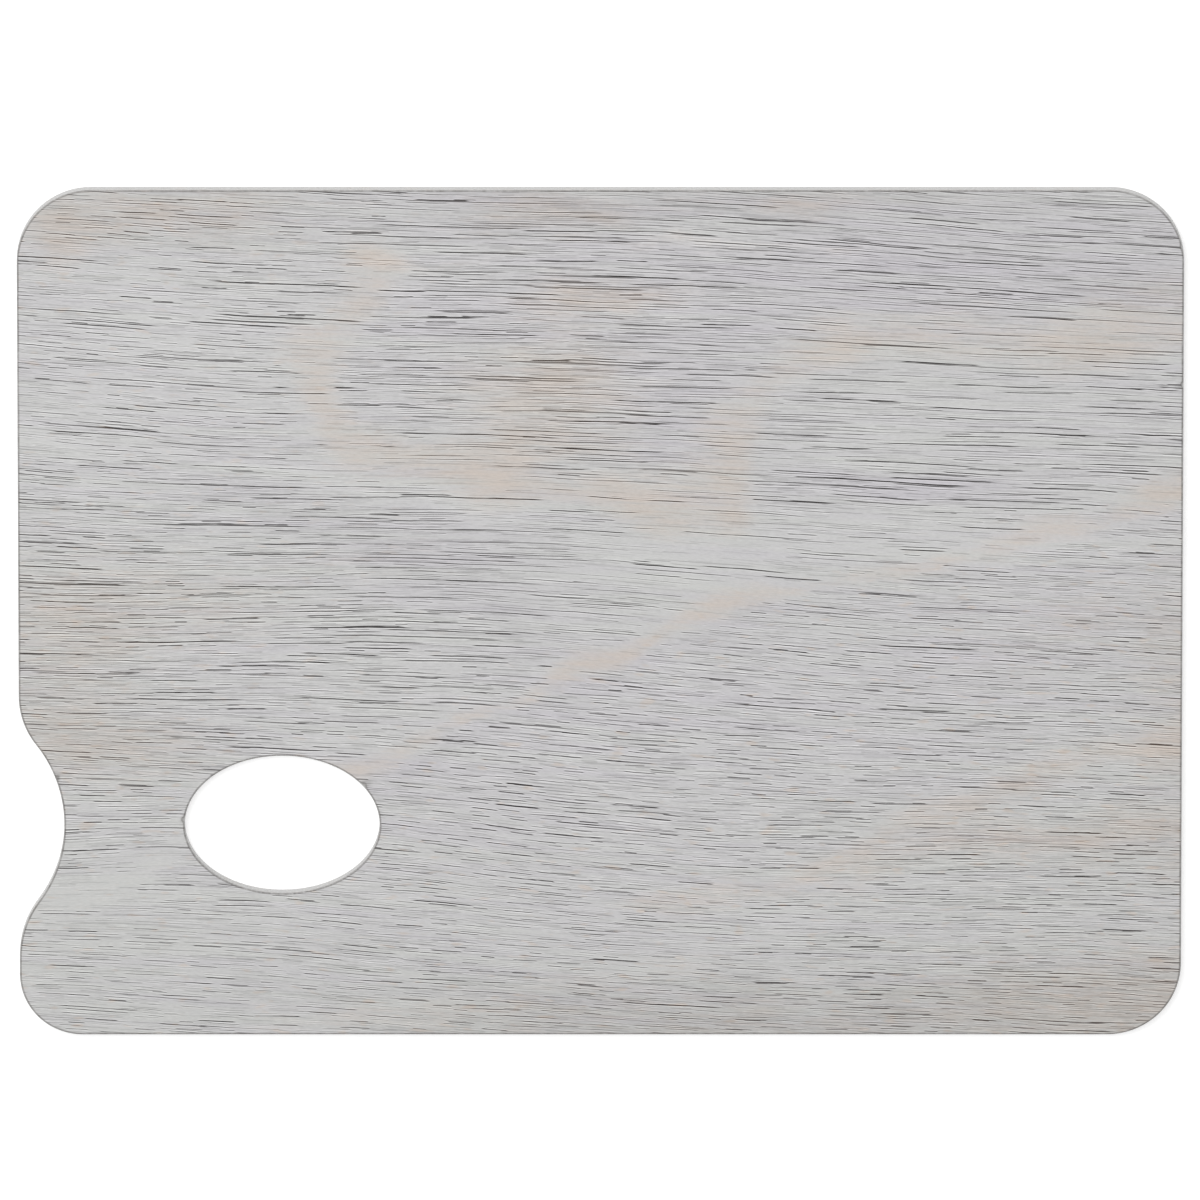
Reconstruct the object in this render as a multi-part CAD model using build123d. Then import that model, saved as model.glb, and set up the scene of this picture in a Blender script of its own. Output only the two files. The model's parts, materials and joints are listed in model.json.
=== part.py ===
"""Rectangular painter's mixing palette, pressed from five veneers and four glue films.

The board lies flat: +Z is up through its thickness, +X runs along its length, +Y across its width.
The origin is on the underside, at the centre of the board. The grain of the face, centre and back
veneers runs along X, and the grain of the two crossbands runs along Y. Every sheet is cut to one
outline: a rectangle with rounded corners, a finger notch in the -X edge and an oval thumb hole
beside it. All sizes are in millimetres.
"""

from build123d import *
import math
import os

# Board
LENGTH = 400.0
WIDTH = 300.0
CORNER_RADIUS = 25.5
HAND_CORNER_RADIUS = 21.5  # the corner just below the finger notch is turned tighter

# Sheets, from the two sanded outer veneers to the glue between them
OUTER_VENEER = 0.8
INNER_VENEER = 1.0
GLUE_FILM = 0.1

# Hand holds: the notch and the thumb hole share one line across the board
HAND_LINE_Y = -WIDTH / 4
NOTCH_DEPTH = 15.5
PALM_RADIUS = 46.5
UPPER_SHOULDER_RADIUS = 28.0
LOWER_SHOULDER_RADIUS = 33.0
THUMB_HOLE_X = -109.5
THUMB_HOLE_LENGTH = 67.0
THUMB_HOLE_WIDTH = 48.8

# Sanded edge of each outer veneer
ARRIS_RADIUS = 0.45

QUARTER_TURN = 90.0


def shoulder_turn(shoulder_radius):
    """Angle, in degrees, that a shoulder turns before it meets the palm arc at the same slope."""
    both = PALM_RADIUS + shoulder_radius
    return math.degrees(math.acos(1 - NOTCH_DEPTH / both))


def shoulder_reach(shoulder_radius):
    """Distance along the edge from the hand line to where a shoulder leaves the straight edge."""
    both = PALM_RADIUS + shoulder_radius
    return both * math.sin(math.radians(shoulder_turn(shoulder_radius)))


def arc_on(edge, radius, turn):
    """Arc that carries on from the end of edge, turning left where turn is positive."""
    return JernArc(start=edge @ 1, tangent=edge % 1, radius=radius, arc_size=turn)


def board_outline():
    """Closed outline, run anticlockwise from the upper end of the notched edge."""
    left, right = -LENGTH / 2, LENGTH / 2
    low, high = -WIDTH / 2, WIDTH / 2
    upper_turn = shoulder_turn(UPPER_SHOULDER_RADIUS)
    lower_turn = shoulder_turn(LOWER_SHOULDER_RADIUS)
    notch_top = HAND_LINE_Y + shoulder_reach(UPPER_SHOULDER_RADIUS)
    with BuildLine() as outline:
        above_notch = Line((left, high - CORNER_RADIUS), (left, notch_top))
        upper_shoulder = arc_on(above_notch, UPPER_SHOULDER_RADIUS, upper_turn)
        palm = arc_on(upper_shoulder, PALM_RADIUS, -(upper_turn + lower_turn))
        lower_shoulder = arc_on(palm, LOWER_SHOULDER_RADIUS, lower_turn)
        below_notch = Line(lower_shoulder @ 1, (left, low + HAND_CORNER_RADIUS))
        hand_corner = arc_on(below_notch, HAND_CORNER_RADIUS, QUARTER_TURN)
        near_edge = Line(hand_corner @ 1, (right - CORNER_RADIUS, low))
        near_corner = arc_on(near_edge, CORNER_RADIUS, QUARTER_TURN)
        right_edge = Line(near_corner @ 1, (right, high - CORNER_RADIUS))
        far_corner = arc_on(right_edge, CORNER_RADIUS, QUARTER_TURN)
        far_edge = Line(far_corner @ 1, (left + CORNER_RADIUS, high))
        arc_on(far_edge, CORNER_RADIUS, QUARTER_TURN)
    return outline.line


def sheet_face():
    """The flat shape that every veneer and glue film is cut to."""
    thumb_hole = Ellipse(THUMB_HOLE_LENGTH / 2, THUMB_HOLE_WIDTH / 2)
    return make_face(board_outline()) - Pos(THUMB_HOLE_X, HAND_LINE_Y) * thumb_hole


def sheet(bottom, thickness):
    """One flat sheet of the board, standing on the height bottom."""
    return extrude(Pos(0, 0, bottom) * sheet_face(), amount=thickness)


def eased(veneer, side):
    """The veneer with its outer rims rounded: side is Axis.Z's end, 1 for the top and -1 below."""
    flat_sides = veneer.faces().sort_by(Axis.Z)
    outside = flat_sides[-1] if side > 0 else flat_sides[0]
    return fillet(outside.edges(), ARRIS_RADIUS)


def board():
    """Every sheet by name, stacked from the underside up."""
    stack = [
        ("back_veneer", OUTER_VENEER),
        ("glue_film_back", GLUE_FILM),
        ("lower_crossband", INNER_VENEER),
        ("glue_film_lower_core", GLUE_FILM),
        ("centre_veneer", INNER_VENEER),
        ("glue_film_upper_core", GLUE_FILM),
        ("upper_crossband", INNER_VENEER),
        ("glue_film_face", GLUE_FILM),
        ("face_veneer", OUTER_VENEER),
    ]
    sheets = {}
    height = 0.0
    for name, thickness in stack:
        sheets[name] = sheet(height, thickness)
        height += thickness
    sheets["back_veneer"] = eased(sheets["back_veneer"], -1)
    sheets["face_veneer"] = eased(sheets["face_veneer"], 1)
    return sheets


def main():
    os.makedirs("parts", exist_ok=True)
    for name, solid in board().items():
        export_step(solid, f"parts/{name}.step")


main()
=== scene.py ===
"""A whitewashed plywood mixing palette, drawn sheet by sheet round its solid model.

Every sheet is one closed surface: rows run across the board from the rim of the thumb hole to the
outer rim and back underneath, and columns run round the board. Lengths are in metres unless a name
or a comment says millimetres.
"""
import json
import math

import bpy
import numpy as np
from bpy.props import FloatProperty, FloatVectorProperty, IntProperty, PointerProperty
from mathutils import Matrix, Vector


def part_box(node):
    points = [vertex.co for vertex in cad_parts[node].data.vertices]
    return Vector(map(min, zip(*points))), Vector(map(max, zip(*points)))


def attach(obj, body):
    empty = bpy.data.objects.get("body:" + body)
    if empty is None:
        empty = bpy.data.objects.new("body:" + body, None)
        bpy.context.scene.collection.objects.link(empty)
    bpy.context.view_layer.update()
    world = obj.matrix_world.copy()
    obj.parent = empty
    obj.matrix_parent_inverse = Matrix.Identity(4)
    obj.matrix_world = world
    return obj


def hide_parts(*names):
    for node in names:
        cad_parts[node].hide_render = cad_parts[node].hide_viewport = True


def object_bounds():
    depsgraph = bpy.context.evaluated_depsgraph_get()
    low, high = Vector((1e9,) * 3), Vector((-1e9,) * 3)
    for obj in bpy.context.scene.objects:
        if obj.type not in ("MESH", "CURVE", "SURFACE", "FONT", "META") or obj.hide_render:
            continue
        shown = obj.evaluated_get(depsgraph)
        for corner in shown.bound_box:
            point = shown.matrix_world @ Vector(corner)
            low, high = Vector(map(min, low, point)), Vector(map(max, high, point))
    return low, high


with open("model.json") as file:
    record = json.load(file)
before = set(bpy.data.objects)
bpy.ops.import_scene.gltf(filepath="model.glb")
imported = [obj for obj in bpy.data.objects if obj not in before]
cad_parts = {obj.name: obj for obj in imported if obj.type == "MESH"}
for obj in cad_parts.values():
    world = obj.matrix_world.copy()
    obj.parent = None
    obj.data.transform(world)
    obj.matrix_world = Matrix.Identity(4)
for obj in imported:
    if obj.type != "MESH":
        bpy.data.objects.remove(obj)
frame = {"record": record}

bl_info = {
    "name": "Mixing palette",
    "version": (1, 0, 0),
    "blender": (4, 5, 0),
    "location": "View3D > Sidebar > Palette",
    "description": "Draws a whitewashed plywood mixing palette, sheet by sheet",
    "category": "Object",
}

MM = 0.001
BODY = "root"
CAD_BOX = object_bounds()
MOUNTS = {mount["name"]: mount for mount in frame["record"]["mounts"]}
BOARD_LOW, BOARD_HIGH = CAD_BOX
MAP_NAME = "OFBake"

# Rows of points in a sheet's section, and the turn past which an edge is drawn sharp
WALL_ROWS = 4
ARRIS_ROWS = 8
UNDER_ROWS = 8
LID_ROWS = 6
SHARP_TURN = math.radians(50)

LEDGE = 0.3 * MM  # plain strip between an arris and the flat
SANDING_DEPTH = 0.12 * MM  # the most that uneven sanding takes off a rim
GLUE_RECESS = 0.03 * MM  # how far the glue lies below the cut edges
WOOD_RELIEF = 0.05 * MM  # depth of the grain's relief
GLUE_RELIEF = 0.02 * MM
CHIP_BARE_WOOD_AND_SHADE = 1.8  # how strongly a chip darkens to the rim colour: bare wood and painted shade in it
EDGE_SWELLS = 300  # swells in the wash of the cut edge, once round the board

# The stage, in metres and radians
AIM = (-0.14 * MM, 4.9 * MM)
FLOOR_HALF_WIDTH = 30.0
FLOOR_GAP = 0.1 * MM
FLOOR_TONES = ((0.86, 0.86, 0.86), (0.88, 0.88, 0.88))
SOFTBOX_SIZE = (3.0, 2.2)
SOFTBOX_PLACE = (-1.2, 1.6, 3.4)
SOFTBOX_TURN = (math.radians(-25), math.radians(-18), 0)

# ---------------------------------------------------------------------------------------------
# Sizes and colours that a user would change


class PaletteSizes(bpy.types.PropertyGroup):
    """Sizes of the board's outline and of its worked edges."""

    corner_radius: FloatProperty(
        name="Corner radius", description="Radius of three of the corners",
        default=25.5 * MM, subtype="DISTANCE", unit="LENGTH")
    hand_corner_radius: FloatProperty(
        name="Hand corner radius", description="Radius of the tighter corner below the finger notch",
        default=21.5 * MM, subtype="DISTANCE", unit="LENGTH")
    notch_depth: FloatProperty(
        name="Notch depth", description="How far the finger notch reaches in from the edge",
        default=15.5 * MM, subtype="DISTANCE", unit="LENGTH")
    palm_radius: FloatProperty(
        name="Palm radius", description="Radius of the hollow of the finger notch",
        default=46.5 * MM, subtype="DISTANCE", unit="LENGTH")
    upper_shoulder_radius: FloatProperty(
        name="Upper shoulder radius", description="Radius of the notch's shoulder on the far side",
        default=28.0 * MM, subtype="DISTANCE", unit="LENGTH")
    lower_shoulder_radius: FloatProperty(
        name="Lower shoulder radius", description="Radius of the notch's shoulder on the near side",
        default=33.0 * MM, subtype="DISTANCE", unit="LENGTH")
    hole_length: FloatProperty(
        name="Thumb hole length", description="Length of the oval thumb hole",
        default=67.0 * MM, subtype="DISTANCE", unit="LENGTH")
    hole_width: FloatProperty(
        name="Thumb hole width", description="Width of the oval thumb hole",
        default=48.8 * MM, subtype="DISTANCE", unit="LENGTH")
    arris: FloatProperty(
        name="Arris radius", description="How round the sanded rims of the outer veneers are",
        default=0.45 * MM, subtype="DISTANCE", unit="LENGTH")
    straight_step: FloatProperty(
        name="Straight step", description="Distance between columns on the straight edges",
        default=3.2 * MM, subtype="DISTANCE", unit="LENGTH")
    round_step: FloatProperty(
        name="Round step", description="Distance between columns on the round edges",
        default=1.1 * MM, subtype="DISTANCE", unit="LENGTH")
    rows_across: IntProperty(
        name="Rows across", description="Rows of faces between the hole and the outer rim",
        default=120)


class PaletteFinish(bpy.types.PropertyGroup):
    """Colours and textures of the whitewashed veneers, their edges and the glue."""

    wash: FloatVectorProperty(
        name="Whitewash", description="Colour of the washed wood between the pores",
        default=(0.566, 0.568, 0.556), size=3, subtype="COLOR", min=0, max=1)
    peach: FloatVectorProperty(
        name="Ring colour", description="Colour of the warm growth rings under the wash",
        default=(0.565, 0.500, 0.450), size=3, subtype="COLOR", min=0, max=1)
    brown: FloatVectorProperty(
        name="Brown wood", description="Colour where bare brown wood shows through the wash",
        default=(0.430, 0.385, 0.345), size=3, subtype="COLOR", min=0, max=1)
    violet: FloatVectorProperty(
        name="Heartwood grey", description="Colour of the cool heartwood between the rings",
        default=(0.545, 0.528, 0.556), size=3, subtype="COLOR", min=0, max=1)
    pore: FloatVectorProperty(
        name="Pore colour", description="Colour at the bottom of an open pore",
        default=(0.032, 0.028, 0.028), size=3, subtype="COLOR", min=0, max=1)
    warm_pore: FloatVectorProperty(
        name="Warm pore colour", description="Colour of a pore where the wood is warm or brown",
        default=(0.058, 0.038, 0.028), size=3, subtype="COLOR", min=0, max=1)
    # Painted shade: this near-black colour darkens the rounded arris rims and the chips as their shade
    # would, along with the wash sanded through there.
    rim: FloatVectorProperty(
        name="Sanded rim", description="Colour of the rims, where sanding cut through the wash",
        default=(0.130, 0.120, 0.112), size=3, subtype="COLOR", min=0, max=1)
    edge: FloatVectorProperty(
        name="Edge wash", description="Colour of the wash on the cut edges",
        default=(0.548, 0.545, 0.540), size=3, subtype="COLOR", min=0, max=1)
    glue: FloatVectorProperty(
        name="Glue line", description="Colour of the cured glue at the cut edges",
        default=(0.400, 0.370, 0.330), size=3, subtype="COLOR", min=0, max=1)
    roughness: FloatProperty(
        name="Roughness", description="Roughness of the sealed wash",
        default=0.55, subtype="FACTOR", min=0, max=1)


class PaletteStage(bpy.types.PropertyGroup):
    """The camera and the studio light."""

    lens: FloatProperty(
        name="Lens", description="Focal length of the camera, in millimetres",
        default=1000.0, subtype="DISTANCE_CAMERA")
    distance: FloatProperty(
        name="Distance", description="From the camera to the point that it looks at",
        default=11.45, subtype="DISTANCE", unit="LENGTH")
    tilt: FloatProperty(
        name="Tilt", description="How far the camera leans towards the far long edge",
        default=math.radians(14.7), subtype="ANGLE", unit="ROTATION")
    daylight: FloatProperty(
        name="Daylight", description="Strength of the even white surroundings",
        default=0.62)
    softbox: FloatProperty(
        name="Softbox", description="Power of the large softbox, in watts",
        default=80.0, subtype="POWER", unit="POWER")


# ---------------------------------------------------------------------------------------------
# The outline of the board

# Small chips in the rims: x, y, width and depth, in millimetres
CHIPS = (
    (-81.5, -61.1, 1.0, 1.1),
    (-143.2, -73.2, 0.8, 1.0),
    (-186.6, -58.3, 0.5, 0.6),
    (200.0, 129.9, 0.9, 0.7),
    (200.0, 81.3, 0.8, 0.6),
)


def beside_chips(place, heading, length):
    """Extra distances along a straight stretch, close together where a chip lies on it."""
    way = np.array([math.cos(heading), math.sin(heading)])
    extra = [np.zeros(0)]
    for x, y, width, _ in CHIPS:
        offset = np.array([x, y]) * MM - place
        along, aside = offset @ way, offset @ [-way[1], way[0]]
        if abs(aside) < 2 * MM and 4 * MM < along < length - 4 * MM:
            extra.append(along + np.linspace(-2.2, 2.2, 11) * width * MM)
    return np.concatenate(extra)


def board_stretches(sizes):
    """The outline as (length, turn) stretches, anticlockwise from the notched edge's upper end.

    A straight stretch has a turn of 0. A round stretch of radius r and turn t, in radians and
    positive to the left, is r times |t| long. A shoulder and the palm arc meet at the same slope, so
    a shoulder of radius s turns by acos(1 - depth / (palm + s)) and reaches (palm + s) sin(turn)
    along the edge from the middle of the notch.
    """
    length = BOARD_HIGH.x - BOARD_LOW.x
    width = BOARD_HIGH.y - BOARD_LOW.y
    hand_line = MOUNTS["thumb_hole"]["pos_m"][1]
    corner, hand_corner = sizes.corner_radius, sizes.hand_corner_radius
    both_upper = sizes.palm_radius + sizes.upper_shoulder_radius
    both_lower = sizes.palm_radius + sizes.lower_shoulder_radius
    upper_turn = math.acos(1 - sizes.notch_depth / both_upper)
    lower_turn = math.acos(1 - sizes.notch_depth / both_lower)
    notch_top = hand_line + both_upper * math.sin(upper_turn)
    notch_low = hand_line - both_lower * math.sin(lower_turn)
    quarter = math.pi / 2
    return [
        (BOARD_HIGH.y - corner - notch_top, 0.0),
        (sizes.upper_shoulder_radius * upper_turn, upper_turn),
        (sizes.palm_radius * (upper_turn + lower_turn), -(upper_turn + lower_turn)),
        (sizes.lower_shoulder_radius * lower_turn, lower_turn),
        (notch_low - BOARD_LOW.y - hand_corner, 0.0),
        (hand_corner * quarter, quarter),
        (length - hand_corner - corner, 0.0),
        (corner * quarter, quarter),
        (width - 2 * corner, 0.0),
        (corner * quarter, quarter),
        (length - 2 * corner, 0.0),
        (corner * quarter, quarter),
    ]


def walk_outline(sizes):
    """Points, outward directions and distances walked, round the outer rim.

    On a stretch of curvature k that starts at p with heading h, the point after a distance s is
    p + (sin(h + ks) - sin h, cos h - cos(h + ks)) / k, or p + s (cos h, sin h) where k is 0. The
    outward direction is the heading turned right.
    """
    place = np.array([BOARD_LOW.x, BOARD_HIGH.y - sizes.corner_radius])
    heading = -math.pi / 2
    walked = 0.0
    points, outward, distance = [], [], []
    for length, turn in board_stretches(sizes):
        step = sizes.round_step if turn else sizes.straight_step
        along = np.linspace(0, length, max(2, round(length / step)) + 1)
        if turn:
            bend = turn / length
            swing = heading + bend * along
            moved = np.stack([np.sin(swing) - math.sin(heading), math.cos(heading) - np.cos(swing)], 1)
            spots = place + moved / bend
        else:
            along = np.union1d(along, beside_chips(place, heading, length))
            swing = np.full_like(along, heading)
            spots = place + along[:, None] * [math.cos(heading), math.sin(heading)]
        points.append(spots[:-1])
        outward.append(np.stack([np.sin(swing), -np.cos(swing)], 1)[:-1])
        distance.append(walked + along[:-1])
        place, heading, walked = spots[-1], heading + turn, walked + length
    return np.concatenate(points), np.concatenate(outward), np.concatenate(distance), walked


def hole_rim(sizes, outer):
    """For each outer point, the hole's rim on the same ray from its middle, and the way into the hole.

    At an angle a, the rim of an ellipse with half axes p and q is pq / sqrt((q cos a)^2 + (p sin a)^2)
    from its middle, and its normal there is along (x / p^2, y / q^2).
    """
    centre = np.array(MOUNTS["thumb_hole"]["pos_m"][:2])
    p, q = sizes.hole_length / 2, sizes.hole_width / 2
    ray = outer - centre
    ray /= np.linalg.norm(ray, axis=1)[:, None]
    reach = p * q / np.hypot(q * ray[:, 0], p * ray[:, 1])
    rim = ray * reach[:, None]
    inward = -rim / np.array([p * p, q * q])
    inward /= np.linalg.norm(inward, axis=1)[:, None]
    return centre + rim, inward


# ---------------------------------------------------------------------------------------------
# The section of a sheet, from the hole to the outer rim and back


def outer_veneer_section(bottom, top, arris, rows_across):
    """Rows of (share of the way out, inset from the rim, height, rim, wall, worn) of an outer veneer.

    Up the hole's wall, round its arris, across the flat, round the outer arris, down the wall and
    back underneath. On an arris of radius r at an angle a the inset is r (1 - cos a) and the height
    is top - r + r sin a. Rim and wall say how much a row belongs to an arris and to a wall, and worn
    says how far it moves in where the rim is worn or chipped.
    """
    angle = np.radians(np.linspace(0, 90, ARRIS_ROWS))
    climb = np.linspace(bottom, top - arris, WALL_ROWS)[:-1]
    ledge = arris + LEDGE
    near_top = np.sin(angle) ** 0.7
    wall = np.stack([climb * 0, climb * 0, climb, climb * 0, climb * 0 + 1, climb * 0], 1)
    turn = np.stack([
        angle * 0,
        arris * (1 - np.cos(angle)),
        top - arris + arris * np.sin(angle),
        near_top,
        np.cos(angle) ** 2,
        near_top], 1)
    shares = np.linspace(0, 1, rows_across + 1)
    none = shares * 0
    flat = np.stack([shares, none + ledge, none + top, none, none, none + 1], 1)
    rise = np.concatenate([wall, turn])
    fall = rise[::-1] + [1, 0, 0, 0, 0, 0]
    back = np.linspace(1, 0, UNDER_ROWS)[1:-1]
    under = np.stack([back, back * 0, back * 0 + bottom, back * 0, back * 0 + 1, back * 0], 1)
    return np.concatenate([rise, flat, fall, under])


def inner_sheet_section(bottom, top, recess):
    """Rows of the same six numbers for a sheet between two others: square, with plain walls."""
    climb = np.linspace(bottom, top, WALL_ROWS)
    none = climb * 0
    wall = np.stack([none, none + recess, climb, none, none + 1, none], 1)
    middle = np.linspace(0, 1, LID_ROWS)[1:-1]
    none = middle * 0
    lid = np.stack([middle, none + recess, none + top, none, none, none], 1)
    under = lid[::-1] * [1, 1, 0, 1, 1, 1] + [0, 0, bottom, 0, 0, 0]
    return np.concatenate([wall, lid, wall[::-1] + [1, 0, 0, 0, 0, 0], under])


def turned_over(section, bottom, top):
    """The section of the same sheet lying face down: heights are mirrored and the rows reversed."""
    mirrored = section.copy()
    mirrored[:, 2] = bottom + top - mirrored[:, 2]
    return mirrored[::-1]


# ---------------------------------------------------------------------------------------------
# Meshes


def sheet_points(sizes, section, wear):
    """The sheet's points as rows by columns by 3, and the walk round the rim.

    A row's point is (1 - share) (hole rim - inset) + share (outer rim - inset), with each inset
    along its own rim's normal. Wear gives how much deeper the inset of a worn row is at a rim point.
    """
    outer, outward, walk, length = walk_outline(sizes)
    hole, inward = hole_rim(sizes, outer)
    share, inset, height, worn = (section[:, i][:, None, None] for i in (0, 1, 2, 5))
    hole_inset = inset + worn * wear(walk / length, hole)[None, :, None]
    outer_inset = inset + worn * wear(walk / length, outer)[None, :, None]
    flat = (1 - share) * (hole - hole_inset * inward) + share * (outer - outer_inset * outward)
    points = np.concatenate([flat, np.broadcast_to(height, flat.shape[:2] + (1,))], 2)
    return points, np.append(walk, length) / length


def closed_grid(name, points):
    """A mesh from a grid that closes on itself both ways, with its faces pointing outwards."""
    rows, columns = points.shape[:2]
    j, i = np.meshgrid(np.arange(rows), np.arange(columns), indexing="ij")
    j_next, i_next = (j + 1) % rows, (i + 1) % columns
    corners = np.stack([j * columns + i, j_next * columns + i, j_next * columns + i_next,
                        j * columns + i_next], 2).reshape(-1)
    mesh = bpy.data.meshes.new(name)
    mesh.vertices.add(rows * columns)
    mesh.vertices.foreach_set("co", points.astype(np.float32).ravel())
    mesh.loops.add(corners.size)
    mesh.loops.foreach_set("vertex_index", corners.astype(np.int32))
    mesh.polygons.add(corners.size // 4)
    mesh.polygons.foreach_set("loop_start", np.arange(0, corners.size, 4, dtype=np.int32))
    mesh.update(calc_edges=True)
    mesh.polygons.foreach_set("use_smooth", np.ones(corners.size // 4, bool))
    mesh.set_sharp_from_angle(angle=SHARP_TURN)
    return mesh


def add_map(mesh, points, walk, flat_rows):
    """Lays the mesh out: its shown flat fills most of the map, and the rest lies in strips below.

    On the flat, u and v are the place along the length and the width. Elsewhere u is the walk round
    the rim, cut into four runs laid one above the other, and v is the row.
    """
    rows, columns = points.shape[:2]
    runs, strip = 4, 0.09
    margin, filled = 0.05, 0.96
    low = np.array(BOARD_LOW[:2])
    size = np.array(BOARD_HIGH[:2]) - low
    j, i = np.meshgrid(np.arange(rows), np.arange(columns), indexing="ij")
    ring = np.stack([j, j + 1, j + 1, j], 2)
    column = np.stack([i, i, i + 1, i + 1], 2)
    spot = points[ring % rows, column % columns, :2]
    planar = (spot - low) / size * [1, 1 - strip] + [0, strip]
    run = np.minimum((walk[i] * runs).astype(int), runs - 1)[:, :, None]
    u = np.clip(walk[column] * runs - run, 0, 1)
    v = (run + margin + (1 - 2 * margin) * ring / rows) / runs * strip * filled
    on_flat = np.isin(j, flat_rows)[:, :, None, None]
    layout = np.where(on_flat, planar, np.stack([u, v], 3))
    mesh.uv_layers.new(name=MAP_NAME).data.foreach_set("uv", layout.astype(np.float32).ravel())


def keep_values(mesh, name, *values):
    """Up to three numbers for every point of the mesh, kept under one name for its material."""
    filled = [np.broadcast_to(v, values[0].shape).ravel() for v in values]
    filled += [np.zeros_like(filled[0])] * (3 - len(filled))
    layer = mesh.attributes.new(name, "FLOAT_VECTOR", "POINT")
    layer.data.foreach_set("vector", np.stack(filled, 1).astype(np.float32).ravel())


def finish_piece(mesh, node, material):
    """Puts the mesh in the scene in place of its plain node, with its finish."""
    piece = bpy.data.objects.new(mesh.name, mesh)
    bpy.context.scene.collection.objects.link(piece)
    mesh.materials.append(material)
    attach(piece, BODY)
    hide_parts(node)


# ---------------------------------------------------------------------------------------------
# The figure of the veneer: places in millimetres from the middle of the board


def smooth_course(points, steps=24):
    """A smooth line through given points, by Catmull-Rom spans."""
    p = np.array(points, float)
    p = np.concatenate([[2 * p[0] - p[1]], p, [2 * p[-1] - p[-2]]])
    t = np.linspace(0, 1, steps, endpoint=False)[None, :, None]
    a, b, c, d = (p[k:len(p) - 3 + k][:, None] for k in range(4))
    line = 0.5 * (2 * b + (c - a) * t + (2 * a - 5 * b + 4 * c - d) * t ** 2
                  + (3 * b - a - 3 * c + d) * t ** 3)
    return np.concatenate([line.reshape(-1, 2), p[-2:-1]])


def distance_to(course, x, y):
    """Distance from each point to the nearest point of a course."""
    line = smooth_course(course)
    nearest = np.full(x.shape, np.inf)
    for place in line:
        nearest = np.minimum(nearest, np.hypot(x - place[0], y - place[1]))
    return nearest


def ripple(x, y, seed, length, count=7):
    """A gentle random swell between about -1 and 1: a mean of sine waves of about one length."""
    chance = np.random.default_rng(seed)
    total = np.zeros_like(x)
    for _ in range(count):
        way, phase = chance.uniform(0, 2 * math.pi, 2)
        wave = length * chance.uniform(0.7, 1.5)
        total += np.sin((x * math.cos(way) + y * math.sin(way)) * 2 * math.pi / wave + phase)
    return total / math.sqrt(count)


def patch(x, y, centre_x, centre_y, reach_x, reach_y):
    """A soft oval patch: 1 in the middle, falling off as exp(-r^2)."""
    return np.exp(-((x - centre_x) / reach_x) ** 2 - ((y - centre_y) / reach_y) ** 2)


# Grain swells: centre, reach and height of each gentle rise in the grain's course
FACE_SWELLS = (
    (-28, 2, 105, 45, -5.8),
    (190, -5, 110, 45, -3.0),
    (-215, -8, 70, 30, 3.2),
    (-125, 74, 70, 42, 2.6),
    (40, 140, 90, 40, -3.2),
    (230, 72, 180, 38, -5.2),
    (32, -92, 105, 42, 6.3),
    (-206, -86, 48, 22, 6.0),
)
BACK_SWELLS = (
    (40, 55, 90, 45, 4.5),
    (-90, -40, 80, 40, 3.6),
    (110, -70, 90, 35, -4.2),
)

# Rings and streaks: (course, half width, warmth, coolness, lightness, brownness, closed pores), where
# closed pores below 0 open more of them
FACE_RINGS = (
    (((-82, 122), (-88, 110), (-94, 98), (-98, 84), (-95, 70), (-86, 61), (-66, 54), (-40, 49), (-20, 45),
      (0, 41), (24, 35)), 9.5, 0.7, -0.3, 0.0, 0.0, 0.75),
    (((46, 34), (42, 46), (43, 60), (52, 78), (68, 90), (90, 97), (110, 98), (140, 92), (165, 93),
      (190, 100), (204, 106)), 11.0, 0.65, -0.3, 0.0, 0.0, 0.5),
    (((-90, -56), (-52, -41), (-28, -31), (0, -18), (20, -6), (38, 3), (62, 10), (89, 13), (120, 19),
      (154, 30), (172, 33), (202, 49)), 4.2, 0.6, 0.0, 0.1, 0.0, 0.85),
    (((0, -106), (30, -102), (58, -97), (82, -86), (107, -74), (140, -61), (172, -50), (202, -45)),
     5.5, 0.5, 0.0, 0.0, 0.0, 0.2),
    (((90, -92), (112, -84), (137, -80), (172, -78), (202, -75)), 5.0, 0.4, 0.0, -0.1, 0.02, 0.0),
    (((-120, -146), (-62, -141), (-28, -139), (14, -126), (48, -119), (69, -103), (93, -98)),
     5.0, 0.15, 0.0, 0.2, 0.0, 0.2),
    (((-204, -108), (-172, -97), (-138, -82)), 5.5, 0.1, -0.4, 0.1, 0.0, 0.85),
    (((-200, 64), (-124, 52), (-41, 37), (30, 13)), 4.0, 0.0, -0.2, 0.5, 0.0, 0.2),
    (((-182, 44), (-103, 22), (-33, -10)), 3.0, 0.0, 0.0, 0.4, 0.0, 0.1),
    (((-134, 46), (-83, 27), (-41, 6), (-20, -10)), 8.0, 0.0, 0.1, -0.3, 0.0, -0.1),
    (((-86, -62), (-50, -47), (0, -25), (40, -5), (70, 4)), 4.5, 0.0, 0.3, -0.3, 0.0, 0.0),
    (((-120, 128), (-60, 124), (10, 132), (90, 128)), 3.0, 0.3, -0.2, 0.4, 0.0, 0.0),
)
BACK_RINGS = (
    (((-202, 84), (-150, 70), (-96, 76), (-40, 62), (10, 38), (60, 34), (120, 52), (202, 60)),
     8.0, 0.8, -0.2, 0.1, 0.0, 0.7),
    (((-202, 20), (-140, 8), (-70, 14), (-10, -6), (50, -24), (110, -16), (202, -30)),
     4.5, 0.7, 0.0, 0.1, 0.0, 0.6),
    (((-60, -151), (-20, -112), (40, -90), (100, -84), (160, -100), (202, -108)),
     6.0, 0.7, 0.0, 0.0, 0.0, 0.5),
    (((-202, 52), (-90, 44), (0, 12), (80, 4)), 4.0, 0.0, 0.6, -0.3, 0.0, 0.0),
)
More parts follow.
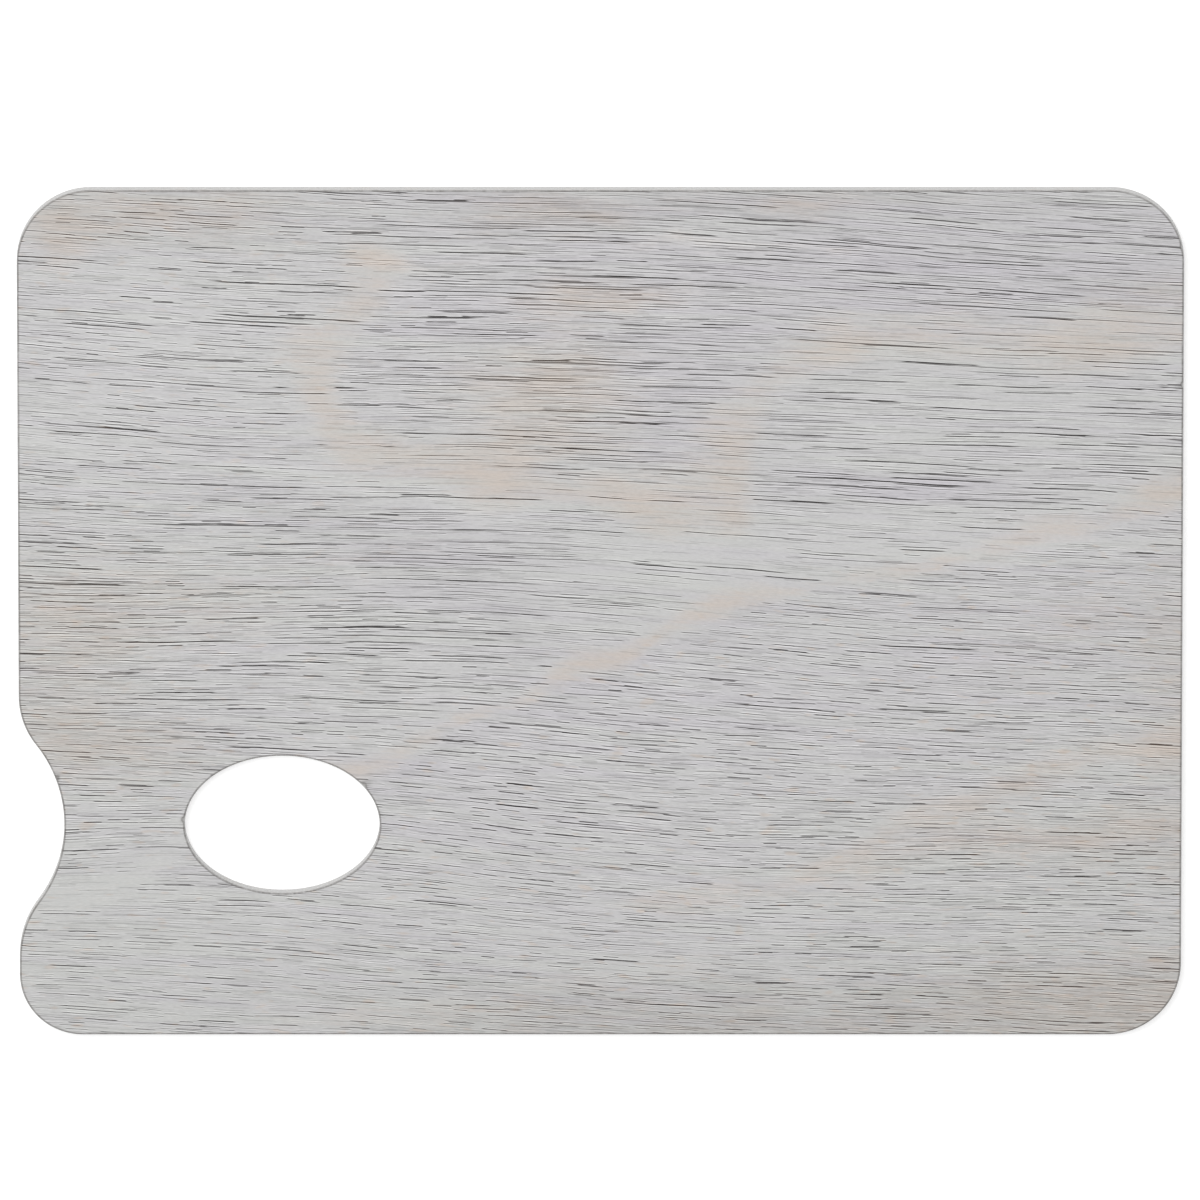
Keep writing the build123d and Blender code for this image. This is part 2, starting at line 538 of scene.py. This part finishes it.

# Soft patches: (x, y, reach x, reach y, warmth, coolness, lightness, brownness, closed pores)
# On the face, the lightness of the strips along the top and bottom edges and of the patches on the left
# and right edges is painted shade: the board darkens towards its rim as the light falls off, on top of
# the wood's own tone.
FACE_PATCHES = (
    (0, 0, 300, 220, 0.0, 0.12, 0.0, 0.0, 0.0),
    (-20, 92, 62, 42, 0.0, 0.6, 0.2, 0.0, -0.45),
    (105, 120, 90, 22, 0.0, 0.8, -0.1, 0.0, -0.2),
    (26, 66, 18, 26, 0.0, 0.4, 0.0, 0.0, 0.0),
    (-18, 80, 36, 20, 0.7, -0.8, 0.1, 0.11, -0.35),
    (-16, 60, 30, 6, 0.3, -0.3, -0.2, 0.0, 0.0),
    (-18, 142, 30, 8, 0.5, 0.1, -0.6, 0.13, 0.0),
    (0, 112, 34, 7, 0.7, -0.2, 0.1, 0.08, 0.0),
    # Painted shade along the top edge, with a faint warm tint.
    (60, 146, 110, 6, 0.25, 0.2, -0.8, 0.0, 0.0),
    (186, 116, 26, 7, 0.2, 0.3, -0.6, 0.1, 0.0),
    (66, 143, 14, 6, 0.4, 0.0, 0.0, 0.0, 0.0),
    (-150, 141, 52, 13, 0.6, -0.1, -0.6, 0.12, -0.1),
    (-185, 130, 14, 14, 0.5, 0.0, -0.2, 0.0, 0.0),
    (-150, 90, 50, 34, -0.3, 0.1, 0.4, 0.0, 0.05),
    # Painted shade on the left edge, over brown wood.
    (-188, -10, 28, 34, 0.45, -0.3, -0.5, 0.06, -0.3),
    (-168, -48, 38, 15, 0.5, -0.3, -0.6, 0.07, -0.3),
    (-140, 4, 50, 20, 0.35, -0.2, -0.2, 0.06, 0.0),
    (-110, 32, 44, 8, 0.0, 0.15, -0.1, 0.0, 0.0),
    (-70, 20, 30, 9, 0.2, 0.2, -0.2, 0.04, 0.0),
    (34, 18, 36, 11, -0.1, -0.1, 0.1, 0.0, 0.8),
    (122, 25, 60, 8, 0.0, -0.2, 0.4, 0.0, 0.35),
    (118, 70, 62, 20, -0.2, 0.0, 0.2, 0.0, 0.05),
    (108, 45, 50, 5, 0.0, 0.8, -0.1, 0.0, 0.0),
    (26, -36, 62, 20, 0.0, 0.45, 0.1, 0.0, 0.05),
    (150, -10, 50, 30, 0.2, 0.4, -0.1, 0.06, 0.0),
    (168, 0, 14, 10, 0.2, 0.0, -0.1, 0.10, 0.0),
    (-40, -70, 50, 30, 0.0, 0.2, 0.0, 0.0, 0.0),
    (165, -82, 55, 14, 0.2, 0.0, -0.4, 0.04, 0.0),
    (145, -92, 80, 45, 0.1, -0.2, -0.1, 0.0, -0.3),
    (-140, -5, 75, 50, 0.0, -0.1, 0.2, 0.0, -0.32),
    (12, -9, 24, 9, 0.1, 0.0, 0.0, 0.0, 0.35),
    (180, -136, 60, 19, 0.45, -0.4, -0.7, 0.11, -0.3),
    # Painted shade along the bottom edge, over a brown band.
    (40, -148, 150, 21, 0.35, -0.2, -1.5, 0.12, -0.1),
    # Painted shade on the right edge, over warm wood.
    (200, -30, 16, 70, 0.35, 0.0, -0.5, 0.08, 0.0),
    (-150, -125, 70, 30, 0.0, 0.0, -0.1, 0.0, 0.3),
    (-175, -118, 50, 40, 0.05, -0.35, -0.1, 0.02, 0.0),
)
BACK_PATCHES = (
    (-120, 110, 60, 20, 0.5, 0.0, -0.5, 0.12, 0.0),
    (120, 100, 80, 34, 0.0, 0.9, -0.2, 0.0, 0.0),
    (-40, -60, 80, 35, 0.0, 0.7, 0.1, 0.0, 0.0),
    (80, 5, 60, 14, -0.2, -0.2, 0.8, 0.0, 0.0),
    (150, -130, 60, 16, 0.2, 0.0, -0.9, 0.25, 0.0),
    (-170, -120, 30, 30, 0.3, 0.0, -0.4, 0.12, 0.0),
    (-30, 120, 26, 14, 0.2, 0.0, -0.6, 0.22, 0.0),
)

# The figure of each side: slope of the grain, swells, rings, patches, and the course of the ring past
# which the pores are long
FACE_FIGURE = (0.056, FACE_SWELLS, FACE_RINGS, FACE_PATCHES, FACE_RINGS[2][0])
BACK_FIGURE = (-0.028, BACK_SWELLS, BACK_RINGS, BACK_PATCHES, BACK_RINGS[1][0])


def grain_course(x, y, slope, swells):
    """Places along and across the grain: the width plus a steady slope and a few soft swells."""
    drift = slope * x
    for centre_x, centre_y, reach_x, reach_y, height in swells:
        drift = drift + height * patch(x, y, centre_x, centre_y, reach_x, reach_y)
    return x - slope * y, y + drift


def figure_of(x, y, rings, patches, seed):
    """Warmth, coolness, lightness, brownness and how open the pores are, at each point; on the face some
    of the lightness is painted shade towards the board's edges.
    """
    shifted_x = x + 3.0 * ripple(x, y, seed, 46)
    shifted_y = y + 1.8 * ripple(x, y, seed + 1, 34)
    uneven = 1 + 0.22 * ripple(x, y, seed + 2, 52)
    tones = np.zeros((5,) + x.shape)
    for course, half_width, *strengths in rings:
        near = np.exp(-(distance_to(course, shifted_x, shifted_y) / (half_width * uneven)) ** 2)
        tones += np.array(strengths)[:, None, None] * near * uneven
    for centre_x, centre_y, reach_x, reach_y, *strengths in patches:
        near = patch(shifted_x, shifted_y, centre_x, centre_y, reach_x, reach_y)
        tones += np.array(strengths)[:, None, None] * near
    warm, cool, light, brown, closed = tones
    open_pores = (1 - np.minimum(closed, 0.9)) * (1 + 0.2 * np.clip(cool, 0, 1))
    return warm, cool, light, brown, open_pores


def share_of_long_pores(x, y, course):
    """How many of the pores are long: most of them past a ring's course, fewer beside the hand holds.

    Each of the two is a soft step, drawn with a tanh across the course and one along the board.
    """
    beyond = 0.5 + 0.5 * np.tanh((y - np.interp(x, *np.array(course, float).T)) / 14)
    away_from_hand = 0.60 + 0.40 * np.tanh((x + 80) / 55)
    return beyond * away_from_hand


# ---------------------------------------------------------------------------------------------
# Shader maths


class Wire:
    """A shader socket that can be added, multiplied and compared like a number."""

    def __init__(self, finish, socket):
        self.finish, self.socket = finish, socket

    def maths(self, operation, *values):
        """The result of one Math node."""
        return self.finish.node("ShaderNodeMath", {"operation": operation}, dict(enumerate(values)))

    def __add__(self, other):
        return self.maths("ADD", self, other)

    def __sub__(self, other):
        return self.maths("SUBTRACT", self, other)

    def __rsub__(self, other):
        return self.maths("SUBTRACT", other, self)

    def __mul__(self, other):
        return self.maths("MULTIPLY", self, other)

    def __truediv__(self, other):
        return self.maths("DIVIDE", self, other)

    def __abs__(self):
        return self.maths("ABSOLUTE", self)

    __radd__, __rmul__ = __add__, __mul__

    def whole(self):
        """The whole number below."""
        return self.maths("FLOOR", self)

    def rest(self):
        """What is left above the whole number below."""
        return self.maths("FRACT", self)

    def between(self, none, full):
        """Climbs smoothly from 0 at none to 1 at full, whichever of the two is larger."""
        ends = {"Value": self, "From Min": none, "From Max": full}
        return self.finish.node("ShaderNodeMapRange", {"interpolation_type": "SMOOTHSTEP"}, ends)

    def part(self, name):
        """Another output of the same node."""
        return Wire(self.finish, self.socket.node.outputs[name])


class Finish:
    """A material under construction."""

    def __init__(self, name):
        self.material = bpy.data.materials.new(name)
        self.material.use_nodes = True
        self.tree = self.material.node_tree
        self.tree.nodes.clear()

    def node(self, kind, settings=None, sockets=None, output=0):
        """Adds a node: its settings first, then values or links for its sockets."""
        node = self.tree.nodes.new(kind)
        for name, value in (settings or {}).items():
            setattr(node, name, value)
        for name, value in (sockets or {}).items():
            if isinstance(value, Wire):
                self.tree.links.new(value.socket, node.inputs[name])
            else:
                node.inputs[name].default_value = value
        return Wire(self, node.outputs[output]) if node.outputs else None

    def kept(self, name):
        """The three numbers that the mesh keeps under a name."""
        vector = self.node("ShaderNodeAttribute", {"attribute_name": name}, output="Vector")
        return self.split(vector)

    def split(self, vector):
        """The three numbers of a vector or colour."""
        first = self.node("ShaderNodeSeparateXYZ", None, {0: vector}, "X")
        return first, first.part("Y"), first.part("Z")

    def join(self, x, y, z=0.0):
        """A vector from three numbers."""
        return self.node("ShaderNodeCombineXYZ", None, {"X": x, "Y": y, "Z": z})

    def noise(self, x, y, seed, detail=2.0, roughness=0.5):
        """Smooth noise about 0.5 over two coordinates: one unit is about one swell."""
        sockets = {"Vector": self.join(x + 17.3 * seed, y), "Scale": 1.0, "Detail": detail,
                   "Roughness": roughness}
        return self.node("ShaderNodeTexNoise", {"noise_dimensions": "2D"}, sockets)

    def solid_noise(self, place, detail=2.0, roughness=0.5):
        """Smooth noise about 0.5 through a solid."""
        sockets = {"Vector": place, "Scale": 1.0, "Detail": detail, "Roughness": roughness}
        return self.node("ShaderNodeTexNoise", {"noise_dimensions": "3D"}, sockets)

    def dice(self, x, y, z):
        """Three random numbers from 0 to 1 that change only where x, y or z does."""
        settings = {"noise_dimensions": "3D"}
        colour = self.node("ShaderNodeTexWhiteNoise", settings, {"Vector": self.join(x, y, z)}, "Color")
        return self.split(colour)

    def mix(self, factor, first, second):
        """From the first colour at 0 to the second at 1."""
        settings = {"data_type": "RGBA", "clamp_factor": True}
        sockets = {0: factor, 6: self.colour(first), 7: self.colour(second)}
        return self.node("ShaderNodeMix", settings, sockets, 2)

    def scaled(self, colour, factor):
        """A colour made lighter or darker."""
        return self.node("ShaderNodeVectorMath", {"operation": "SCALE"}, {0: colour, "Scale": factor})

    @staticmethod
    def colour(value):
        """A colour that a socket takes: a wire as it is, or three numbers made opaque."""
        return value if isinstance(value, Wire) else (*value, 1.0)

    def close(self, colour, roughness, height, depth):
        """Joins the colour, roughness and relief to the shader. depth is the relief's in metres."""
        bump = self.node("ShaderNodeBump", None, {"Height": height, "Distance": depth, "Strength": 1.0})
        shader = self.node("ShaderNodeBsdfPrincipled", None, {
            "Base Color": colour, "Roughness": roughness, "Normal": bump, "Specular IOR Level": 0.35})
        self.node("ShaderNodeOutputMaterial", None, {"Surface": shader})
        return self.material


# ---------------------------------------------------------------------------------------------
# Finishes

# Wash raised along the lips of a pore: where it ends and where it is full, in millimetres from the
# middle of the pore
LIP_END, LIP_FULL = 0.60, 0.22


def pore_rows(finish, along, across, pitch, run, width, seed, presence):
    """Long fine pores in rows: how deep each is, 0 to 1, the same for its lips, and how far off it is.

    Each row is cut into cells of one run. A cell holds one line, whose chance is weighed against
    presence, with a random place in its row, lean, length and depth. The line fades out at both
    ends, and its depth changes slowly along it. Sizes are in millimetres.
    """
    lane = across / pitch
    row = lane.whole()
    start, _, _ = finish.dice(row, seed, 3.7)
    place = along / run + start * 31.0
    cell = place.whole()
    side, lean, length = finish.dice(row, cell, seed)
    chance, depth, thick = finish.dice(row, cell, seed + 0.5)
    through = place.rest() - 0.5
    off_line = abs(lane.rest() - 0.5 - (side - 0.5) * 0.5 - (lean - 0.5) * 0.35 * through) * pitch
    half_width = (0.45 + 0.45 * depth + 0.3 * thick) * (0.5 * width)
    line = (off_line / half_width).between(1.15, 0.80)
    half_length = 0.18 + 0.31 * length
    ends = abs(through).between(half_length, half_length * 0.75)
    change = finish.noise(along / (0.16 * run + 2.0), row * 7.3, seed, 1.0).between(0.1, 0.5)
    there = ends * (presence - chance).between(0.0, 0.08) * (0.45 + 0.55 * depth) * (0.55 + 0.45 * change)
    return line * there, there, off_line


def veneer_pores(finish, along, across, open_pores, long_pores, seed):
    """The pores of a washed veneer: how dark they are, the hairlines, the lips and the grooves.

    Four layers of rows, from the longest pores to the shortest, lie over one another and crowd
    together in loose bunches, and the two longest cut grooves. Two more layers are the hairlines.
    """
    kink = finish.noise(along / 6.0, across / 1.6, seed + 4, 1.0)
    line_across = across + (kink - 0.5) * 0.16
    bunch = finish.noise(along / 55.0, across / 3.4, seed + 9, 3.0)
    crowd = open_pores * (1.0 + 0.34 * bunch)
    short_pores = 1.0 - long_pores
    # Pitch, run, width, offset, strength and presence of each layer
    layers = [
        (2.2, 70.0, 0.42, 0.0, 1.0, crowd * (0.02 + 0.80 * long_pores)),
        (1.7, 44.0, 0.40, 1.1, 1.0, crowd * (0.08 + 0.60 * long_pores)),
        (1.7, 24.0, 0.38, 0.4, 1.0, crowd * (0.24 + 0.42 * short_pores)),
        (1.4, 13.0, 0.37, 0.9, 0.9, crowd * (0.06 + 0.68 * short_pores)),
    ]
    grooved_layers = 2
    shut, lips, grooves = 1.0, 0.0, 0.0
    for number, (pitch, run, width, offset, strength, presence) in enumerate(layers):
        line, there, off_line = pore_rows(
            finish, along, line_across + offset, pitch, run, width, seed + 51 + number, presence)
        shut = shut * (1.0 - line * strength)
        lips = lips + off_line.between(LIP_END, LIP_FULL) * there
        if number < grooved_layers:
            grooves = grooves + line
    hair_presence = 0.2 + 0.45 * crowd
    hair, *_ = pore_rows(finish, along, line_across, 0.95, 44.0, 0.34, seed + 15, hair_presence)
    fine_hair, *_ = pore_rows(finish, along, line_across, 0.75, 16.0, 0.32, seed + 16, hair_presence)
    return 1.0 - shut, hair + fine_hair, lips, grooves


def veneer_ground(finish, look, along, across, figure, short_pores, lips, seed):
    """The washed wood, the colour at the bottom of its pores, and its fuzz and clouding.

    Violet streaks, warm rings and bare brown wood are laid over the wash in turn, each with a
    feathered border, and one tone makes the whole lighter or darker.
    """
    warm, cool, light, brown = figure
    stripes = finish.noise(along / 80.0, across / 4.5, seed + 29, 2.0)
    streaks = finish.noise(along / 26.0, across / 1.5, seed + 31, 3.0, 0.6)
    fuzz = finish.noise(along / 2.2, across / 0.38, seed + 33, 1.0, 0.6)
    cloud = finish.noise(along / 14.0, across / 6.0, seed + 35, 3.0, 0.6)
    spots = finish.noise(along / 9.0, across / 2.6, seed + 37, 1.0).between(0.66, 0.82) * short_pores

    # The figure's lightness enters here, so the face's painted shade towards its edges darkens the wash.
    tone = (1.0 + light * 0.1 + (streaks - 0.5) * 0.09 + (fuzz - 0.5) * 0.22
            + (cloud - 0.5) * 0.06 + lips * 0.36)
    feather = (streaks - 0.5) * 1.1 + (cloud - 0.5) * 0.9
    warmth = (warm + feather * (0.5 + 0.4 * warm)).between(0.1, 1.15) + spots * 0.7
    coolness = 0.27 + (cool + (streaks - 0.5) * 0.5) * 0.6 + (stripes - 0.5) * 1.3
    bareness = (brown + feather * brown * 1.4).between(0.02, 0.5) * 0.6
    ground = finish.mix(coolness, look.wash, look.violet)
    ground = finish.mix(warmth * 0.9, ground, look.peach)
    ground = finish.mix(bareness, ground, look.brown)
    ground = finish.scaled(ground, tone)
    deep = finish.mix((warm + brown + spots).between(0.1, 0.9), look.pore, look.warm_pore)
    return ground, deep, fuzz, cloud


def veneer_edge(finish, look, walk, across, seed):
    """The wash on the cut edge, uneven along its walk round the board."""
    uneven = finish.noise(walk, across / 9.0, seed + 41, 3.0)
    edge = finish.mix(uneven.between(0.5, 0.8) * 0.3, look.edge, look.peach)
    return finish.scaled(edge, 0.94 + 0.10 * uneven)


def washed_veneer(name, look, seed):
    """Whitewashed open-pored veneer: rings and patches of tone, partly painted shade towards the edges,
    streaks, pores, and sanded rims darkened partly by painted shade.
    """
    finish = Finish(name)
    along, across, _ = finish.kept("grain")
    warm, cool, light = finish.kept("figure")
    open_pores, long_pores, brown = finish.kept("pores")
    rim, wall, walk = finish.kept("edge")
    off_wall = 1.0 - wall

    sway = finish.noise(along / 60.0, across / 12.0, seed)
    across = across + (sway - 0.5) * 1.8
    pores, hairs, lips, grooves = veneer_pores(finish, along, across, open_pores, long_pores, seed)
    pores, hairs = pores * off_wall, hairs * off_wall
    ground, deep, fuzz, cloud = veneer_ground(
        finish, look, along, across, (warm, cool, light, brown), 1.0 - long_pores, lips, seed)
    surface = finish.mix(hairs * 0.29, ground, deep)
    surface = finish.mix(pores, surface, deep)
    surface = finish.mix(wall, surface, veneer_edge(finish, look, walk, across, seed))
    # Painted shade along the arris: rim rows and chips go towards the dark rim colour, unevenly round the
    # board, as the rim's shade and the wash sanded through there.
    worn = rim * (0.22 + 0.8 * finish.noise(walk * 2.0, 0.5, seed + 42, 3.0))
    surface = finish.mix(worn, surface, look.rim)

    roughness = look.roughness + pores * 0.25 + (cloud - 0.5) * 0.12
    relief = (fuzz - 0.5) * 0.4 - grooves * off_wall
    return finish.close(surface, roughness, relief, WOOD_RELIEF)


def inner_veneer(name, look, fibres_along_x, seed):
    """A veneer seen only at its cut edge: drawn-out fibres and pores along one way, washed over."""
    finish = Finish(name)
    place = finish.node("ShaderNodeTexCoord", None, None, "Object")
    x, y, z = finish.split(place)
    fine, drawn = 1 / (0.35 * MM), 1 / (6.0 * MM)
    x_scale, y_scale = (drawn, fine) if fibres_along_x else (fine, drawn)
    fibre_place = finish.join(x * x_scale, y * y_scale, z * fine)
    fibres = finish.solid_noise(fibre_place, 3.0, 0.6)
    cells = finish.node("ShaderNodeTexVoronoi", {"feature": "F1"},
                        {"Vector": fibre_place, "Scale": 0.55}, "Distance")
    pits = cells.between(0.22, 0.10)
    worn = finish.noise(x / (9.0 * MM), y / (9.0 * MM), seed, 4.0, 0.6).between(0.55, 0.75)
    tone = 0.93 + 0.12 * fibres
    ground = finish.mix(worn * 0.3, look.edge, look.peach)
    surface = finish.mix(pits * 0.45, finish.scaled(ground, tone), look.brown)
    roughness = look.roughness + 0.1 + pits * 0.2
    return finish.close(surface, roughness, fibres * 0.5 - pits, WOOD_RELIEF)


def glue_line(name, look, seed):
    """Cured glue at a cut edge: thin, slightly glassy, and hidden under the wash in places."""
    finish = Finish(name)
    x, y, z = finish.split(finish.node("ShaderNodeTexCoord", None, None, "Object"))
    place = finish.join(x / (3.0 * MM), y / (3.0 * MM), z / (0.2 * MM) + seed)
    cover = finish.solid_noise(place, 4.0, 0.6)
    surface = finish.mix(cover.between(0.35, 0.6) * 0.75, look.glue, look.edge)
    return finish.close(surface, 0.35 + 0.3 * cover, cover, GLUE_RELIEF)


# ---------------------------------------------------------------------------------------------
# Operators


def no_wear(share, rim):
    """No wear anywhere on the rim."""
    return np.zeros_like(share)


def chipped(x, y):
    """1 in the middle of each chip, falling off round it, at places in metres."""
    total = np.zeros_like(x)
    for chip_x, chip_y, width, _ in CHIPS:
        away = np.hypot(x - chip_x * MM, y - chip_y * MM) / (1.2 * width * MM)
        total += np.exp(-away ** 2)
    return total


def sanding(seed, amount):
    """Uneven sanding of a rim: a sum of sine waves round the board, and the chips knocked out of it."""
    count = 14
    chance = np.random.default_rng(seed)
    turns = chance.integers(5, 90, count)
    phases = chance.uniform(0, 2 * math.pi, count)

    def wear(share, rim):
        waves = np.sin(2 * math.pi * share[:, None] * turns + phases).sum(1) / count
        depth = amount * np.clip(0.5 + waves, 0, 1)
        for x, y, width, chip in CHIPS:
            away = np.hypot(rim[:, 0] - x * MM, rim[:, 1] - y * MM)
            depth = depth + chip * MM * np.exp(-(away / (width * MM)) ** 2)
        return depth

    return wear


def draw_outer_veneer(sizes, look, node, face_up, seed):
    """One of the two whitewashed veneers, with its figure kept on its points."""
    low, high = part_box(node)
    section = outer_veneer_section(low.z, high.z, sizes.arris, sizes.rows_across)
    if not face_up:
        section = turned_over(section, low.z, high.z)
    points, walk = sheet_points(sizes, section, sanding(seed, SANDING_DEPTH))
    mesh = closed_grid(node + "_washed", points)
    x, y = points[:, :, 0] / MM, points[:, :, 1] / MM
    slope, swells, rings, patches, long_pore_course = FACE_FIGURE if face_up else BACK_FIGURE
    along, across = grain_course(x, y, slope, swells)
    warm, cool, light, brown, open_pores = figure_of(x, y, rings, patches, seed)
    long_pores = share_of_long_pores(x, y, long_pore_course)
    rim, wall = (section[:, k][:, None] + x * 0 for k in (3, 4))
    # Chips take the dark rim colour too: bare wood and painted shade in each chip.
    rim = np.maximum(rim, CHIP_BARE_WOOD_AND_SHADE * chipped(points[:, :, 0], points[:, :, 1]) * (1 - wall))
    keep_values(mesh, "grain", along, across)
    keep_values(mesh, "figure", warm, cool, light)
    keep_values(mesh, "pores", open_pores, long_pores, brown)
    keep_values(mesh, "edge", rim, wall, walk[:-1][None, :] * EDGE_SWELLS + x * 0)
    shown = np.flatnonzero((section[:, 3] == 0) & (section[:, 4] == 0))
    add_map(mesh, points, walk, shown[:-1])
    material = washed_veneer(node + "_finish", look, seed)
    finish_piece(mesh, node, material)


def draw_inner_sheet(sizes, node, material, recess):
    """One sheet that shows only at its cut edge."""
    low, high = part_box(node)
    section = inner_sheet_section(low.z, high.z, recess)
    points, walk = sheet_points(sizes, section, no_wear)
    mesh = closed_grid(node + "_edge", points)
    add_map(mesh, points, walk, [])
    finish_piece(mesh, node, material)


class PALETTE_OT_outer_veneers(bpy.types.Operator):
    """Draw the whitewashed veneers that are the face and the back of the board"""

    bl_idname = "palette.outer_veneers"
    bl_label = "Outer veneers"

    def execute(self, context):
        sizes, look = context.scene.palette_sizes, context.scene.palette_finish
        draw_outer_veneer(sizes, look, "face_veneer", face_up=True, seed=5)
        draw_outer_veneer(sizes, look, "back_veneer", face_up=False, seed=70)
        return {"FINISHED"}


class PALETTE_OT_inner_veneers(bpy.types.Operator):
    """Draw the two crossbands and the centre veneer, which show at the cut edges"""

    bl_idname = "palette.inner_veneers"
    bl_label = "Inner veneers"

    def execute(self, context):
        sizes, look = context.scene.palette_sizes, context.scene.palette_finish
        crossband = inner_veneer("crossband_edge", look, fibres_along_x=False, seed=2.0)
        centre = inner_veneer("centre_edge", look, fibres_along_x=True, seed=6.0)
        draw_inner_sheet(sizes, "lower_crossband", crossband, 0.0)
        draw_inner_sheet(sizes, "centre_veneer", centre, 0.0)
        draw_inner_sheet(sizes, "upper_crossband", crossband, 0.0)
        return {"FINISHED"}


class PALETTE_OT_glue_films(bpy.types.Operator):
    """Draw the four glue lines between the veneers, sunk a little below the cut edges"""

    bl_idname = "palette.glue_films"
    bl_label = "Glue lines"

    def execute(self, context):
        sizes, look = context.scene.palette_sizes, context.scene.palette_finish
        glue = glue_line("glue_edge", look, seed=3.0)
        for node in ("glue_film_back", "glue_film_lower_core", "glue_film_upper_core", "glue_film_face"):
            draw_inner_sheet(sizes, node, glue, GLUE_RECESS)
        return {"FINISHED"}


class PALETTE_OT_stage(bpy.types.Operator):
    """Set up the pale floor, the soft studio light and the camera"""

    bl_idname = "palette.stage"
    bl_label = "Stage"

    def execute(self, context):
        stage = context.scene.palette_stage
        scene = context.scene
        scene.view_settings.view_transform = "Standard"
        self.floor()
        self.light(scene, stage)
        self.camera(scene, stage)
        return {"FINISHED"}

    def floor(self):
        """A wide flat floor just under the board, of an almost white finish that glows faintly."""
        half = FLOOR_HALF_WIDTH
        mesh = bpy.data.meshes.new("floor")
        corners = [(-half, -half, 0), (half, -half, 0), (half, half, 0), (-half, half, 0)]
        mesh.from_pydata(corners, [], [(0, 1, 2, 3)])
        floor = bpy.data.objects.new("floor", mesh)
        floor.location.z = BOARD_LOW.z - FLOOR_GAP
        bpy.context.scene.collection.objects.link(floor)
        finish = Finish("floor_white")
        place = finish.node("ShaderNodeTexCoord", None, None, "Object")
        colour = finish.mix(finish.solid_noise(place), *FLOOR_TONES)
        # Painted light: the floor glows faintly, so it stays white in the board's shadow and lights the
        # board's walls and underside from below.
        shader = finish.node("ShaderNodeBsdfPrincipled", None, {
            "Base Color": colour, "Roughness": 0.9, "Specular IOR Level": 0.1,
            "Emission Color": (1, 1, 1, 1), "Emission Strength": 0.35})
        finish.node("ShaderNodeOutputMaterial", None, {"Surface": shader})
        mesh.materials.append(finish.material)

    def light(self, scene, stage):
        """Even white surroundings and one large softbox above the far left corner."""
        world = bpy.data.worlds.new("studio")
        world.use_nodes = True
        world.node_tree.nodes["Background"].inputs["Color"].default_value = (1, 1, 1, 1)
        world.node_tree.nodes["Background"].inputs["Strength"].default_value = stage.daylight
        scene.world = world
        lamp = bpy.data.lights.new("softbox", "AREA")
        lamp.shape = "RECTANGLE"
        lamp.size, lamp.size_y = SOFTBOX_SIZE
        lamp.energy = stage.softbox
        softbox = bpy.data.objects.new("softbox", lamp)
        softbox.location = SOFTBOX_PLACE
        softbox.rotation_euler = SOFTBOX_TURN
        softbox.visible_camera = False
        scene.collection.objects.link(softbox)

    def camera(self, scene, stage):
        """A long lens above the board, leaning towards its far long edge."""
        camera = bpy.data.cameras.new("camera")
        camera.lens = stage.lens
        camera.clip_start = 0.1
        camera.clip_end = 100.0
        holder = bpy.data.objects.new("camera", camera)
        aim_x, aim_y = AIM
        holder.location = (
            aim_x,
            aim_y + stage.distance * math.sin(stage.tilt),
            BOARD_HIGH.z + stage.distance * math.cos(stage.tilt),
        )
        holder.rotation_euler = (-stage.tilt, 0, 0)
        scene.collection.objects.link(holder)
        scene.camera = holder


class PALETTE_PT_maker(bpy.types.Panel):
    """Lists the steps that draw the palette"""

    bl_label = "Mixing palette"
    bl_idname = "PALETTE_PT_maker"
    bl_space_type = "VIEW_3D"
    bl_region_type = "UI"
    bl_category = "Palette"

    def draw(self, context):
        for step in STEPS:
            self.layout.operator(step.bl_idname)
        for group_name, kind in GROUPS.items():
            group = getattr(context.scene, group_name)
            for name in kind.__annotations__:
                self.layout.prop(group, name)


GROUPS = {"palette_sizes": PaletteSizes, "palette_finish": PaletteFinish, "palette_stage": PaletteStage}
STEPS = (PALETTE_OT_outer_veneers, PALETTE_OT_inner_veneers, PALETTE_OT_glue_films, PALETTE_OT_stage)
CLASSES = (*GROUPS.values(), *STEPS, PALETTE_PT_maker)


def register():
    for item in CLASSES:
        bpy.utils.register_class(item)
    for name, group in GROUPS.items():
        setattr(bpy.types.Scene, name, PointerProperty(type=group))


def unregister():
    for name in GROUPS:
        delattr(bpy.types.Scene, name)
    for item in reversed(CLASSES):
        bpy.utils.unregister_class(item)


def main():
    register()
    bpy.ops.palette.outer_veneers()
    bpy.ops.palette.inner_veneers()
    bpy.ops.palette.glue_films()
    bpy.ops.palette.stage()


if __name__ == "__main__":
    main()
